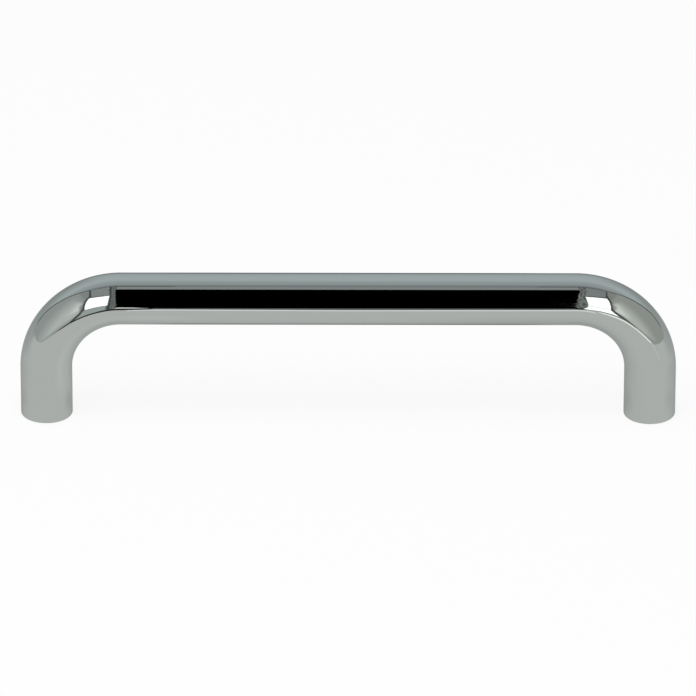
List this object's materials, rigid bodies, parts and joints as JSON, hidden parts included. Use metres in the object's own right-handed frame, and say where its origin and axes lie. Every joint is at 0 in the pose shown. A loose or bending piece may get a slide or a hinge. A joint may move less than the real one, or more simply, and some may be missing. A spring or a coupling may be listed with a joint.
{
  "type": "bow handle",
  "caption": "Polished chrome bow handle: a round bar bent at its ends into legs, each foot tapped for a screw that comes through a drawer or door front.",
  "frame": {"origin": "on the mounting face, midway between the feet", "axes": "+X along the bar, +Y across it, +Z from the mounting face out to the bar"},
  "size_m": [0.139, 0.011, 0.0325],
  "materials": {
    "chrome_plate": "polished chrome plate on a zinc casting"
  },
  "bodies": {
    "root": {"bow_handle": "chrome_plate"}
  },
  "joints": []
}
